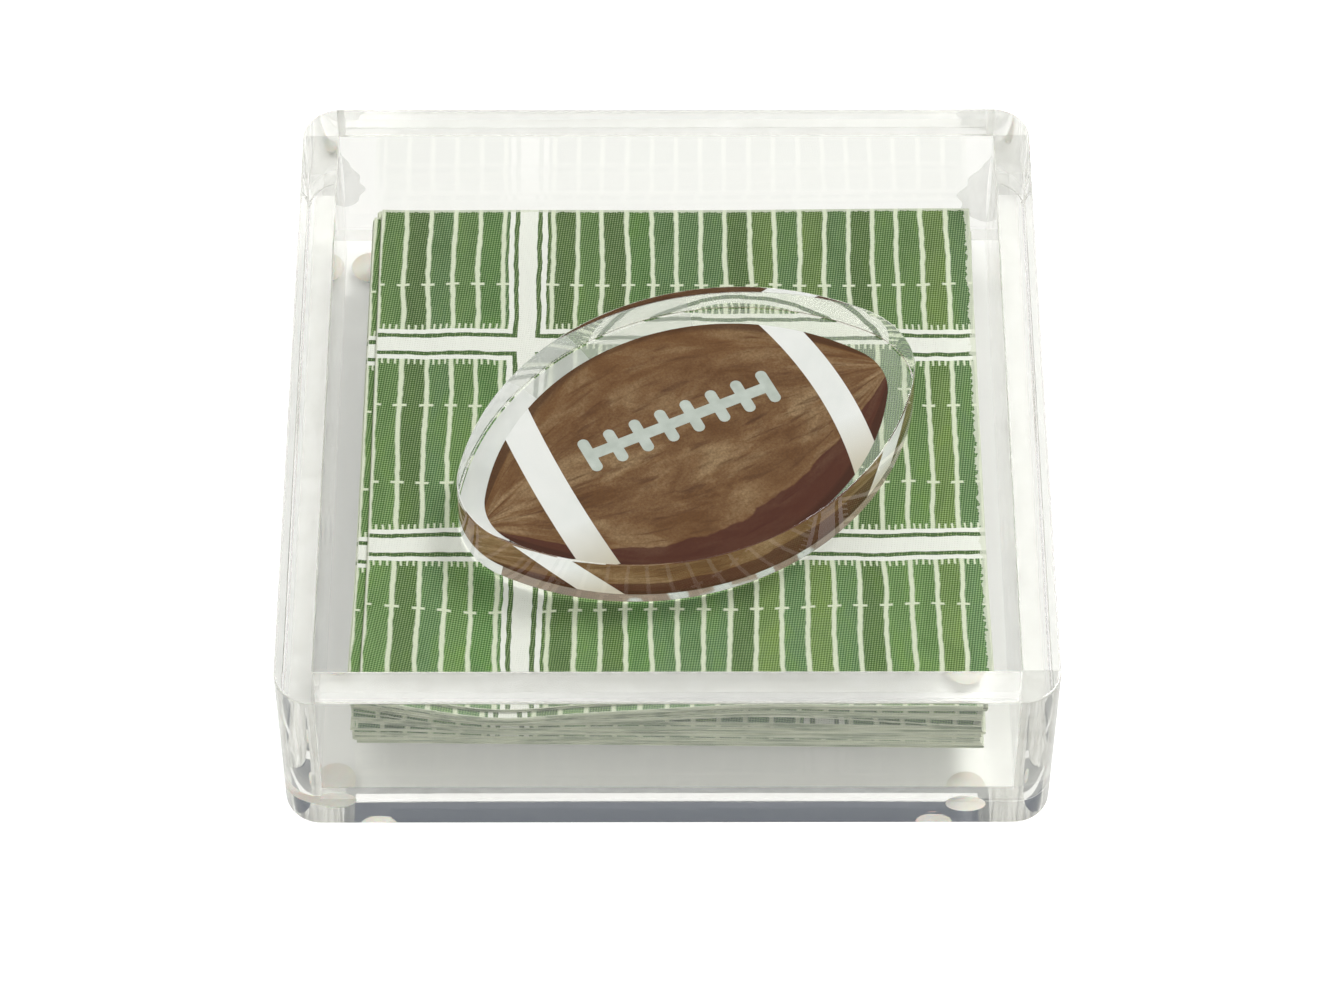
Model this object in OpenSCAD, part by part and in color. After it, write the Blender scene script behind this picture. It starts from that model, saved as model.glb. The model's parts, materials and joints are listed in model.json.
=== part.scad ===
// Clear cocktail napkin tray with a football-shaped napkin weight.
// Five polished clear panels are bonded into an open tray on four small feet. A stack of
// printed paper napkins, each folded in four, lies in it under a thick clear weight, which
// has a football printed on its underside.
// Sizes are in millimetres. +Z is up, the front is towards -Y, and the origin is the
// centre of the plane that the feet stand on.

/* [Napkins] */
// Napkins in the stack
napkin_count = 15; // [4:1:20]
// Side of one folded napkin
napkin_side = 125; // [100:1:170]
// Thickness of one folded napkin
napkin_t = 0.84; // [0.6:0.02:1.4]
// Air between two leaves where they part at an open edge
leaf_gap = 0.06; // [0.03:0.01:0.08]
// How far in the leaves part from an open edge
leaf_part = 3; // [1:0.5:8]
// How far a napkin may lie off its neighbours
napkin_stray = 0.3; // [0:0.1:0.5]
// How far a napkin may lie turned, in degrees
napkin_skew = 0.35; // [0:0.05:0.4]
// How far the second napkin from the top has slipped, to the right and to the back
second_slip = [-2.1, -1.9]; // [-3:0.1:1.2]
// How far the third napkin from the top has slipped, to the right and to the back
third_slip = [-1.2, 1]; // [-3:0.1:1.2]
// How far the fourth napkin from the top has slipped, to the right and to the back
fourth_slip = [-1.4, -0.8]; // [-3:0.1:1.2]
// How far the rest of the stack lies off the top napkin, to the right and to the back
rest_slip = [-0.9, -0.1]; // [-3:0.1:1]
// How far the rest of the stack lies turned against the top napkin, in degrees
rest_turn = -1; // [-1.5:0.1:1.5]

/* [Room around the stack] */
// Between the stack and the front wall, for the fingers
front_gap = 9.9; // [4:0.1:20]
// Between the stack and the back wall
back_gap = 2.3; // [2.1:0.1:8]
// Between the stack and the left wall
left_gap = 8.1; // [4:0.1:14]
// Between the stack and the right wall
right_gap = 4.1; // [2.5:0.1:14]

/* [Tray] */
// Thickness of the four walls
wall_t = 7.6; // [4:0.1:12]
// Height of the walls above the base
wall_h = 34.15; // [28:0.05:60]
// Thickness of the base
base_t = 7.85; // [4:0.05:12]
// Radius of the upright outer corners
corner_r = 7.5; // [2:0.1:10]
// Width of the eased bevel on the rim and under the base
edge_ease = 0.5; // [0.2:0.05:1]

/* [Feet] */
// Diameter of a foot
foot_d = 8; // [5:0.5:12]
// Height of a foot
foot_h = 2; // [1:0.1:3]
// Diameter of the flat that a foot stands on
foot_flat_d = 4.4; // [2:0.1:4.8]
// From the tray's outer faces in to a foot's centre
foot_inset = 12.4; // [10:0.1:30]
// How far off that place the front left foot is stuck, to the right and to the back
front_left_slip = [-2.3, 0.2]; // [-5:0.1:5]
// How far off that place the front right foot is stuck, to the right and to the back
front_right_slip = [-4.3, -2]; // [-5:0.1:5]
// How far off that place the back left foot is stuck, to the right and to the back
back_left_slip = [0, 1.2]; // [-5:0.1:5]
// How far off that place the back right foot is stuck, to the right and to the back
back_right_slip = [-4.6, 2.1]; // [-5:0.1:5]

/* [Weight] */
// Length from tip to tip
weight_l = 100; // [80:1:110]
// Breadth across the middle
weight_w = 67; // [50:1:75]
// Radius of the rounded tips
weight_tip_r = 16.5; // [12:0.5:22]
// Thickness of the clear slab
weight_t = 12.5; // [8:0.1:18]
// Polished bevel round its two faces
weight_ease = 0.4; // [0.2:0.05:1]
// How far its middle lies to the right of the stack's
weight_right = 2.3; // [-6:0.1:6]
// How far its middle lies in front of the stack's
weight_front = 4.7; // [-6:0.1:8]
// How far it is turned on the stack, in degrees
weight_turn = 26; // [0:1:90]

/* [Football print] */
// Clear border between the print and the slab's edge, at the tips
print_tip_margin = 5.4; // [3:0.1:9]
// Clear border between the print and the slab's edge, at the sides
print_side_margin = 3.9; // [2:0.1:9]
// Thickness of the printed layers
print_t = 0.2; // [0.1:0.05:0.4]
// From the middle of the ball to a stripe's near edge, at the right end and the left
stripe_from = [29.8, 26.2]; // [25:0.1:31]
// Width of a stripe, at the right end and the left
stripe_w = [6.2, 7.2]; // [5:0.1:9]
// Radius of the curve that a stripe is drawn on, at the right end and the left
stripe_curve_r = [90, 300]; // [80:1:400]
// Length of the lace bar
lace_l = 43; // [30:1:44]
// Width of the lace bar
lace_w = 2.6; // [1.5:0.1:4]
// How far the lace bar lies above the ball's long axis
lace_rise = 6.3; // [0:0.1:8]
// How far the middle of the lace bar lies from the ball's, towards its right tip
lace_shift = 1.2; // [-2:0.1:2]
// Stitches across the lace bar
stitch_count = 8; // [5:1:10]
// Length of a stitch
stitch_l = 8.8; // [6:0.1:11]
// Width of a stitch
stitch_w = 2.4; // [1.4:0.1:2.8]

/* [Hidden] */
$fn = 96;

// The tray's size follows from the stack and the room around it.
inner_w = napkin_side + left_gap + right_gap;
inner_d = napkin_side + front_gap + back_gap;
tray_w = inner_w + 2 * wall_t;
tray_d = inner_d + 2 * wall_t;
outer_r = min(corner_r, wall_t);

// Levels, from the feet up
base_z = foot_h;
floor_z = base_z + base_t;
rim_z = floor_z + wall_h;
stack_top_z = floor_z + napkin_count * napkin_t;
slab_z = stack_top_z + print_t;

// Middle of the stack, and of the weight on it
stack_x = (left_gap - right_gap) / 2;
stack_y = (front_gap - back_gap) / 2;
weight_x = stack_x + weight_right;
weight_y = stack_y - weight_front;

// A folded napkin has four leaves: folded once to the back, then once to the right.
leaf_t = (napkin_t - 3 * leaf_gap) / 4;
half_t = 2 * leaf_t + leaf_gap;

// Steps that scatter the napkins without a pattern the eye picks up, in degrees
stray_step_x = 137;
stray_step_y = 101;
skew_step = 73;

// Where a napkin lies off the middle of the stack: the top one not at all, the next three
// by slips of their own, and the rest scattered a little about a common place
function napkin_shift(i) =
    i == napkin_count ? [0, 0] :
    i == napkin_count - 1 ? second_slip :
    i == napkin_count - 2 ? third_slip :
    i == napkin_count - 3 ? fourth_slip :
    rest_slip + napkin_stray * [sin(i * stray_step_x), sin(i * stray_step_y)];

// How far napkin i lies turned: the top one lies square to the tray, and the next three
// about so
function napkin_turn(i) =
    i == napkin_count ? 0 :
    (i < napkin_count - 3 ? rest_turn : 0) + napkin_skew * sin(i * skew_step);

// Cutters reach this far past what they cut.
over = 1;

function napkin_name(i) = str("napkin_", i < 10 ? "0" : "", i);

// ---- Tray ----

// Section of a bar of width w and height h with its two top edges eased
module eased_section(w, h, ease) {
    polygon([[-w / 2, 0], [w / 2, 0], [w / 2, h - ease], [w / 2 - ease, h],
             [-w / 2 + ease, h], [-w / 2, h - ease]]);
}

// A block with round upright corners and its top edge eased all round
module eased_block(w, d, h, r, ease) {
    rotate([90, 0, 90]) linear_extrude(w - 2 * r, center = true) eased_section(d, h, ease);
    rotate([90, 0, 0]) linear_extrude(d - 2 * r, center = true) eased_section(w, h, ease);
    for (x = [-1, 1], y = [-1, 1])
        translate([x * (w / 2 - r), y * (d / 2 - r), 0]) {
            cylinder(h - ease, r = r);
            translate([0, 0, h - ease]) cylinder(ease, r, r - ease);
        }
}

// The strip of the tray's walls from one plan corner to the opposite one
module wall_strip(from, to) {
    intersection() {
        translate([0, 0, floor_z]) eased_block(tray_w, tray_d, wall_h, outer_r, edge_ease);
        translate([from[0], from[1], floor_z])
            cube([to[0] - from[0], to[1] - from[1], wall_h + over]);
    }
}

// Cuts the bevel along the inner top edge of a wall whose inner face is at +Y in its own frame
module inner_ease(length, face) {
    translate([0, face, rim_z]) rotate([90, 0, 90]) linear_extrude(length, center = true)
        polygon([[0, -edge_ease], [edge_ease, 0], [edge_ease, over], [-over, over],
                 [-over, -edge_ease]]);
}

module base_panel() {
    color([0.93, 0.94, 0.94, 0.4])
        translate([0, 0, floor_z]) mirror([0, 0, 1])
            eased_block(tray_w, tray_d, base_t, outer_r, edge_ease);
}

// The back wall runs the whole width, and the side walls butt on its inner face.
module back_wall() {
    color([0.92, 0.93, 0.94, 0.4]) difference() {
        wall_strip([-tray_w / 2, inner_d / 2], [tray_w / 2, tray_d / 2]);
        inner_ease(inner_w, inner_d / 2);
    }
}

// The left wall runs on to the front face.
module left_wall() {
    color([0.93, 0.94, 0.93, 0.4]) difference() {
        wall_strip([-tray_w / 2, -tray_d / 2], [-inner_w / 2, inner_d / 2]);
        rotate(90) inner_ease(inner_d, inner_w / 2);
    }
}

// The front wall butts on the left wall's inner face and runs on to the right face.
module front_wall() {
    color([0.92, 0.93, 0.94, 0.4]) difference() {
        wall_strip([-inner_w / 2, -tray_d / 2], [tray_w / 2, -inner_d / 2]);
        rotate(180) inner_ease(inner_w, inner_d / 2);
    }
}

// The right wall fits between the front and back walls.
module right_wall() {
    color([0.93, 0.94, 0.93, 0.4]) difference() {
        wall_strip([inner_w / 2, -inner_d / 2], [tray_w / 2, inner_d / 2]);
        rotate(-90) inner_ease(inner_d, inner_w / 2);
    }
}

// A clear bumper foot: a low dome, stuck on by its wide face and flat where it stands.
// The dome's arc runs from the flat's edge to the rim of the wide face. slip is how far
// the foot is stuck off its place in the corner.
module foot(side_x, side_y, slip) {
    flat_r = foot_flat_d / 2;
    rim_r = foot_d / 2;
    // Height of the arc's centre over the wide face, from its two end points
    centre_h = (rim_r * rim_r - flat_r * flat_r - foot_h * foot_h) / (2 * foot_h);
    dome_r = sqrt(rim_r * rim_r + centre_h * centre_h);
    color([0.9, 0.89, 0.84, 0.6])
        translate([side_x * (tray_w / 2 - foot_inset) + slip[0],
                   side_y * (tray_d / 2 - foot_inset) + slip[1], 0])
            rotate_extrude() intersection() {
                translate([0, foot_h + centre_h]) circle(dome_r);
                square([rim_r, foot_h]);
            }
}

// ---- Napkins ----

// Slits that part all four leaves at the edge x = 0, seen along that edge
module open_edge() {
    for (i = [1:3])
        translate([-over, i * (leaf_t + leaf_gap) - leaf_gap])
            square([leaf_part + over, leaf_gap]);
}

// Section across the second fold, which wraps all the leaves in one round nose
module second_fold_section() {
    difference() {
        union() {
            translate([-napkin_side / 2, 0]) square([napkin_side - napkin_t / 2, napkin_t]);
            translate([napkin_side / 2 - napkin_t / 2, napkin_t / 2]) circle(napkin_t / 2);
        }
        translate([-napkin_side / 2, 0]) open_edge();
    }
}

// Section across the first fold, where each half of the napkin has a nose of its own
module first_fold_section() {
    difference() {
        union() {
            translate([-napkin_side / 2, 0]) square([napkin_side - half_t / 2, napkin_t]);
            for (z = [half_t / 2, napkin_t - half_t / 2])
                translate([napkin_side / 2 - half_t / 2, z]) circle(half_t / 2);
        }
        translate([-napkin_side / 2, 0]) open_edge();
        translate([napkin_side / 2 - leaf_part, half_t]) square([leaf_part + over, leaf_gap]);
    }
}

// Napkin number i from the bottom, each a little off its neighbours
module napkin(i) {
    green = 0.42 + 0.05 * sin(i * skew_step);
    shift = napkin_shift(i);
    color([0.25, green, 0.24])
        translate([stack_x + shift[0], stack_y + shift[1], floor_z + (i - 1) * napkin_t])
            rotate(napkin_turn(i)) intersection() {
                rotate([90, 0, 0]) linear_extrude(napkin_side, center = true)
                    second_fold_section();
                rotate([90, 0, 90]) linear_extrude(napkin_side, center = true)
                    first_fold_section();
            }
}

// ---- Weight ----

// How far a football's side arcs have their centres past its long axis
function arc_offset(l, w, r) = (pow(l / 2 - r, 2) - pow(w / 2 - r, 2)) / (w - 2 * r);

// Plan of the part of a football that its two side arcs bound. Its slanted edges run from
// the tip circles' centres through the points where tip and side arcs touch.
module arc_region(l, w, r) {
    tip = l / 2 - r;
    c = arc_offset(l, w, r);
    reach = 1 + w / c;
    polygon([[tip, 0], [tip * reach, w], [-tip * reach, w],
             [-tip, 0], [-tip * reach, -w], [tip * reach, -w]]);
}

// Outline of a football: two side arcs that run smoothly into two round tips
module football_outline(l, w, r) {
    c = arc_offset(l, w, r);
    intersection() {
        translate([0, c]) circle(c + w / 2, $fn = 360);
        translate([0, -c]) circle(c + w / 2, $fn = 360);
        arc_region(l, w, r);
    }
    for (x = [-1, 1]) translate([x * (l / 2 - r), 0]) circle(r);
}

// A layer h thick with a football's outline, drawn in by ease towards its top
module football_layer(l, w, r, h, ease) {
    c = arc_offset(l, w, r);
    side_r = c + w / 2;
    intersection() {
        translate([0, c, 0]) cylinder(h, side_r, side_r - ease, $fn = 360);
        translate([0, -c, 0]) cylinder(h, side_r, side_r - ease, $fn = 360);
        linear_extrude(h) arc_region(l, w, r);
    }
    for (x = [-1, 1]) translate([x * (l / 2 - r), 0, 0]) cylinder(h, r, r - ease);
}

// Places what lies on the weight's axes, at height z
module on_weight(z) {
    translate([weight_x, weight_y, z]) rotate(weight_turn) children();
}

module weight_slab() {
    color([0.9, 0.93, 0.93, 0.45]) on_weight(slab_z) {
        translate([0, 0, weight_ease]) mirror([0, 0, 1])
            football_layer(weight_l, weight_w, weight_tip_r, weight_ease, weight_ease);
        translate([0, 0, weight_ease]) linear_extrude(weight_t - 2 * weight_ease)
            football_outline(weight_l, weight_w, weight_tip_r);
        translate([0, 0, weight_t - weight_ease])
            football_layer(weight_l, weight_w, weight_tip_r, weight_ease, weight_ease);
    }
}

// Outline of the printed ball
module ball_outline() {
    football_outline(weight_l - 2 * print_tip_margin, weight_w - 2 * print_side_margin,
                     weight_tip_r - print_tip_margin);
}

// The two bands round the ball's ends, each between two arcs that bow towards its tip
module stripes() {
    for (end = [0, 1]) {
        r = stripe_curve_r[end];
        rotate(end * 180) difference() {
            translate([stripe_from[end] + stripe_w[end] - r, 0]) circle(r, $fn = 360);
            translate([stripe_from[end] - r, 0]) circle(r, $fn = 360);
            translate([-r, -r]) square([r, 2 * r]);
        }
    }
}

// A bar with round ends
module round_bar(l, w) {
    square([l - w, w], center = true);
    for (x = [-1, 1]) translate([x * (l - w) / 2, 0]) circle(w / 2);
}

// The lace bar and its evenly spaced stitches
module laces() {
    pitch = (lace_l - stitch_w) / (stitch_count - 1);
    translate([lace_shift, lace_rise]) {
        round_bar(lace_l, lace_w);
        for (i = [0:stitch_count - 1])
            translate([-(lace_l - stitch_w) / 2 + i * pitch, 0])
                rotate(90) round_bar(stitch_l, stitch_w);
    }
}

// The brown of the ball, printed round the white
module brown_print() {
    color([0.38, 0.25, 0.17]) on_weight(stack_top_z) linear_extrude(print_t)
        difference() {
            ball_outline();
            stripes();
            laces();
        }
}

// The white of the ball: two stripes and the laces
module white_print() {
    color([0.91, 0.92, 0.91]) on_weight(stack_top_z) linear_extrude(print_t)
        intersection() {
            ball_outline();
            union() {
                stripes();
                laces();
            }
        }
}

// ---- What is drawn ----

base_panel();
front_wall();
back_wall();
left_wall();
right_wall();
foot(-1, -1, front_left_slip);  // foot_front_left
foot(1, -1, front_right_slip);  // foot_front_right
foot(-1, 1, back_left_slip);  // foot_back_left
foot(1, 1, back_right_slip);  // foot_back_right
weight_slab();
brown_print();
white_print();
for (i = [1:napkin_count]) napkin(i);
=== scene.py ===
# %% [markdown]
# # A clear napkin tray with a football weight
#
# The object is an open square tray of thick, polished clear acrylic. It holds a stack of
# green printed paper napkins, each folded in four, and a loose clear weight in the shape
# of a football keeps them from blowing away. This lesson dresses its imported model: clear
# plastic that bends light, soft paper with a printed and embossed face, and a printed
# football seen through 12 mm of acrylic.
#
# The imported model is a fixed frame. Every piece made here takes its place from it.

# %% Load the frame
import json
import math

import bpy
import numpy as np
from mathutils import Matrix, Vector

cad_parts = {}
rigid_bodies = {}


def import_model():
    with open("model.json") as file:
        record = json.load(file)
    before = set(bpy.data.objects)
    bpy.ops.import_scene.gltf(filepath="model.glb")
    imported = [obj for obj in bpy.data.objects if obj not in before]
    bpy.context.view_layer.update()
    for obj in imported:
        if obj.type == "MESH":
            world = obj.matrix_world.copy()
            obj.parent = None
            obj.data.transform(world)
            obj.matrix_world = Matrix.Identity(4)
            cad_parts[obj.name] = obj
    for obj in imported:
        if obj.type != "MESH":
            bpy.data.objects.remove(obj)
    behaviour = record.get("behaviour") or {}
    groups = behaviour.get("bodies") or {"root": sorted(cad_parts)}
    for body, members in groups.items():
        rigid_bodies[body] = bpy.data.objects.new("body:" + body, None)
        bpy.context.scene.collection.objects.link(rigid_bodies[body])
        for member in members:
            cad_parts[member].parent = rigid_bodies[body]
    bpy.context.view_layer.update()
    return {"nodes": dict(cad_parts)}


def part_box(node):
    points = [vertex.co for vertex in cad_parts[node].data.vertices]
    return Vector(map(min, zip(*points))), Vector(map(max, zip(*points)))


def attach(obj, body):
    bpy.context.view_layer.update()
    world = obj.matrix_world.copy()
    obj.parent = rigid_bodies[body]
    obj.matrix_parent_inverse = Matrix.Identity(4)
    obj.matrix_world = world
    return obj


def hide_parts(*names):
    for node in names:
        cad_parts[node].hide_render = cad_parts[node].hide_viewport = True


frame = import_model()
MM = 0.001

# %% [markdown]
# ## Three ways to make a mesh
#
# Most pieces here are stacks of closed rings, such as the tray and the weight, or thin
# sheets, such as the napkins. All come down to points and faces, so one small function turns
# those into an object. A second one joins rings that have the same number of points: the
# outside of the tray, its rim and its inside are then one unbroken surface, as the bonded
# acrylic is. A third one closes a sheet that has a grid of points on either side.

# %% Mesh helpers
def make_object(name, points, faces, materials=(), face_slots=None):
    """A mesh object from points in metres and faces of point numbers."""
    mesh = bpy.data.meshes.new(name)
    mesh.from_pydata([tuple(p) for p in points], [], faces)
    for material in materials:
        mesh.materials.append(material)
    if face_slots is not None:
        mesh.polygons.foreach_set("material_index", face_slots)
    mesh.validate()
    obj = bpy.data.objects.new(name, mesh)
    bpy.context.scene.collection.objects.link(obj)
    return obj


def join_rings(rings):
    """Points and faces of a closed skin through rings of equal length, capped at both ends."""
    count = len(rings[0])
    points = np.concatenate(rings)
    faces = [list(range(count))[::-1]]
    for level in range(len(rings) - 1):
        low, high = level * count, (level + 1) * count
        for i in range(count):
            j = (i + 1) % count
            faces.append([low + i, low + j, high + j, high + i])
    faces.append([(len(rings) - 1) * count + i for i in range(count)])
    return points, faces


def grid_skin(rows, columns):
    """Faces of a thin closed solid with a grid of points in front and one behind.

    Front faces and back faces come in turns, and the strip round the edge comes last.
    """
    behind = rows * columns
    faces = []
    for i in range(rows - 1):
        for j in range(columns - 1):
            a = i * columns + j
            quad = [a, a + 1, a + columns + 1, a + columns]
            faces += [quad, [behind + k for k in quad[::-1]]]
    border = list(range(columns))
    border += [i * columns + columns - 1 for i in range(1, rows)]
    border += [(rows - 1) * columns + j for j in range(columns - 2, -1, -1)]
    border += [i * columns for i in range(rows - 2, 0, -1)]
    for a, b in zip(border, border[1:] + border[:1]):
        faces.append([a, behind + a, behind + b, b])
    return faces


def polish_normals(obj, sharp_degrees):
    """Smooth shading that keeps big flat faces flat, which clear material needs."""
    obj.data.shade_smooth()
    obj.data.set_sharp_from_angle(angle=math.radians(sharp_degrees))
    weighted = obj.modifiers.new("Flat faces stay flat", "WEIGHTED_NORMAL")
    weighted.keep_sharp = True
    weighted.weight = 100

# %% [markdown]
# ## Materials from small parts
#
# A material here is a handful of nodes and two or three effects. What more than one
# material uses is a node group with named inputs and outputs, built once: evenly spaced
# lines, blotches of colour, the embossed dots of tissue and the faint marks that polishing
# leaves. The groups put out colours, masks and heights. The shaders stay in the materials.

# %% Node helpers
def feed(tree, socket, value):
    """Links an output to this input, or sets the input to a plain value."""
    if isinstance(value, bpy.types.NodeSocket):
        tree.links.new(value, socket)
    else:
        socket.default_value = value


def add_node(tree, kind, **inputs):
    """A new node of this kind. Its inputs are named with _ for a space."""
    node = tree.nodes.new(kind)
    for name, value in inputs.items():
        feed(tree, node.inputs[name.replace("_", " ")], value)
    return node


def math_node(tree, operation, *values):
    """A Math node. Gives its output socket."""
    node = tree.nodes.new("ShaderNodeMath")
    node.operation = operation
    for socket, value in zip(node.inputs, values):
        feed(tree, socket, value)
    return node.outputs[0]


def vector_node(tree, operation, *values, scale=None):
    """A Vector Math node. Gives its output socket."""
    node = tree.nodes.new("ShaderNodeVectorMath")
    node.operation = operation
    for socket, value in zip(node.inputs, values):
        feed(tree, socket, value)
    if scale is not None:
        feed(tree, node.inputs["Scale"], scale)
    return node.outputs[0]


def split_axes(tree, vector):
    """The X, Y and Z sockets of a vector."""
    return add_node(tree, "ShaderNodeSeparateXYZ", Vector=vector).outputs


def clamped(tree, value, highest=1.0):
    """The value kept between 0 and the highest."""
    return add_node(tree, "ShaderNodeClamp", Value=value, Max=highest).outputs[0]


def fade_in(tree, value, start, full, strength=1.0):
    """A mask that grows from 0 where the value is start to strength where it is full."""
    node = add_node(tree, "ShaderNodeMapRange", Value=value, From_Min=start, From_Max=full,
                    To_Max=strength)
    return node.outputs[0]


def noise_at(tree, vector, scale, detail, **more):
    """The value of a noise at this place. Gives the output socket."""
    node = add_node(tree, "ShaderNodeTexNoise", Vector=vector, Scale=scale, Detail=detail, **more)
    return node.outputs[0]


def stretched(tree, vector, scale, rotation=(0, 0, 0)):
    """Coordinates that are turned and scaled, so that a pattern on them is stretched."""
    node = add_node(tree, "ShaderNodeMapping", Vector=vector, Rotation=rotation, Scale=scale)
    return node.outputs[0]


def bumped(tree, height, strength, distance):
    """The normal that this height gives. distance is the height of 1, in metres."""
    node = add_node(tree, "ShaderNodeBump", Height=height, Strength=strength, Distance=distance)
    return node.outputs[0]


def mix_colors(tree, factor, color_a, color_b, blend="MIX"):
    """Blends two colours, each a socket or a plain RGBA. Gives the output socket."""
    node = tree.nodes.new("ShaderNodeMix")
    node.data_type = "RGBA"
    node.blend_type = blend
    feed(tree, node.inputs[0], factor)
    feed(tree, node.inputs[6], color_a)
    feed(tree, node.inputs[7], color_b)
    return node.outputs[2]


def new_group(name, inputs, outputs):
    """An empty shader node group. inputs are (name, type, default) and outputs (name, type)."""
    tree = bpy.data.node_groups.new(name, "ShaderNodeTree")
    for label, kind, default in inputs:
        socket = tree.interface.new_socket(name=label, in_out="INPUT", socket_type=kind)
        if default is not None:
            socket.default_value = default
    for label, kind in outputs:
        tree.interface.new_socket(name=label, in_out="OUTPUT", socket_type=kind)
    return tree, tree.nodes.new("NodeGroupInput").outputs, tree.nodes.new("NodeGroupOutput").inputs


def use_group(tree, group, **inputs):
    """Places a group in a material and feeds its inputs. Gives its outputs."""
    node = tree.nodes.new("ShaderNodeGroup")
    node.node_tree = group
    for name, value in inputs.items():
        feed(tree, node.inputs[name.replace("_", " ")], value)
    return node.outputs


def new_material(name):
    """An empty material. Gives the material, its tree and the socket for its surface."""
    material = bpy.data.materials.new(name)
    material.use_nodes = True
    tree = material.node_tree
    tree.nodes.clear()
    return material, tree, tree.nodes.new("ShaderNodeOutputMaterial").inputs["Surface"]


def finish_surface(tree, surface, **inputs):
    """Ends a material with a Principled shader that has these inputs."""
    shader = add_node(tree, "ShaderNodeBsdfPrincipled", **inputs)
    feed(tree, surface, shader.outputs[0])


def in_metres(tree):
    """Position in the object's own space, which is the part's frame."""
    return add_node(tree, "ShaderNodeTexCoord").outputs["Object"]


def give_material(obj, material):
    """Leaves an object with this one material."""
    obj.data.materials.clear()
    obj.data.materials.append(material)


FLOAT, COLOR, VECTOR = "NodeSocketFloat", "NodeSocketColor", "NodeSocketVector"

# %% [markdown]
# ### Effect: evenly spaced lines
#
# The yard lines and their ticks repeat at a fixed pitch. Folding a coordinate into one
# pitch with Ping-Pong gives the distance to the nearest line, and comparing that with half
# the line's width gives a mask. Softness keeps the printed edge from being a hard step.

# %% Group: lines
lines_group, given, result = new_group(
    "Even lines",
    [("Coordinate", FLOAT, 0.0), ("Pitch", FLOAT, 5.0), ("Width", FLOAT, 1.0),
     ("Softness", FLOAT, 0.1)],
    [("Mask", FLOAT)])
half_pitch = math_node(lines_group, "MULTIPLY", given["Pitch"], 0.5)
distance = math_node(lines_group, "PINGPONG", given["Coordinate"], half_pitch)
half_width = math_node(lines_group, "MULTIPLY", given["Width"], 0.5)
edge = math_node(lines_group, "SUBTRACT", half_width, distance)
rise = math_node(lines_group, "DIVIDE", edge, given["Softness"])
rise = math_node(lines_group, "ADD", rise, 0.5)
feed(lines_group, result["Mask"], clamped(lines_group, rise))
print("group:", lines_group.name)

# %% [markdown]
# ### Effect: blotches of colour
#
# Ink on tissue and ink on acrylic both dry unevenly. A soft, distorted noise picks between
# a dark, a middle and a light colour.

# %% Group: mottle
mottle_group, given, result = new_group(
    "Mottle",
    [("Vector", VECTOR, None), ("Scale", FLOAT, 5.0), ("Contrast", FLOAT, 1.0),
     ("Dark", COLOR, (0, 0, 0, 1)), ("Middle", COLOR, (0.5, 0.5, 0.5, 1)),
     ("Light", COLOR, (1, 1, 1, 1))],
    [("Color", COLOR), ("Value", FLOAT)])
noise = noise_at(mottle_group, given["Vector"], given["Scale"], 5.0, Roughness=0.6,
                 Distortion=0.6)
spread = math_node(mottle_group, "SUBTRACT", noise, 0.5)
spread = math_node(mottle_group, "MULTIPLY", spread, given["Contrast"])
mottled = given["Middle"]
for gain, shade in ((4.0, "Light"), (-4.0, "Dark")):
    amount = clamped(mottle_group, math_node(mottle_group, "MULTIPLY", spread, gain))
    mottled = mix_colors(mottle_group, amount, mottled, given[shade])
feed(mottle_group, result["Color"], mottled)
feed(mottle_group, result["Value"], noise)


def mottled_color(tree, vector, scale, contrast, dark, middle, light):
    """Blotches of three shades, each given as red, green and blue."""
    mottled = use_group(tree, mottle_group, Vector=vector, Scale=scale, Contrast=contrast,
                        Dark=(*dark, 1), Middle=(*middle, 1), Light=(*light, 1))
    return mottled["Color"]


print("group:", mottle_group.name)

# %% [markdown]
# ### Effect: embossed dots
#
# The plies of a paper napkin are pressed together by a roller with a fine grid of pins,
# set at a slant. The printed face paints shade into the pits. Two crossed waves make the
# grid, and a little noise makes some pits fainter than others.

# %% Group: embossing
ROLLER_SLANT = math.radians(38)
emboss_group, given, result = new_group(
    "Embossed dots",
    [("Vector", VECTOR, None), ("Pitch", FLOAT, 0.6)],
    [("Height", FLOAT), ("Pit", FLOAT)])
slant = add_node(emboss_group, "ShaderNodeVectorRotate", Vector=given["Vector"],
                 Angle=ROLLER_SLANT)
axes = split_axes(emboss_group, slant.outputs[0])
angular = math_node(emboss_group, "DIVIDE", 2 * math.pi, given["Pitch"])
waves = []
for axis in ("X", "Y"):
    phase = math_node(emboss_group, "MULTIPLY", axes[axis], angular)
    waves.append(math_node(emboss_group, "SINE", phase))
crossed = math_node(emboss_group, "MULTIPLY", waves[0], waves[1])
fading = noise_at(emboss_group, given["Vector"], 1.1, 2.0)
fibre = noise_at(emboss_group, given["Vector"], 4.5, 4.0, Roughness=0.7)
pits = math_node(emboss_group, "MULTIPLY", crossed, fading)
height = math_node(emboss_group, "MULTIPLY_ADD", fibre, 0.6, pits)
feed(emboss_group, result["Height"], height)
feed(emboss_group, result["Pit"], math_node(emboss_group, "ADD", pits, 0.5))
print("group:", emboss_group.name)

# %% [markdown]
# ### Effect: polishing marks
#
# Cast acrylic is smooth, but its cut faces are machined and buffed, and handling leaves
# hair-fine marks. Noise that is stretched along the sheet makes them. They only shift the
# roughness and the normal by a very small amount, or the plastic would look frosted.

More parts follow.
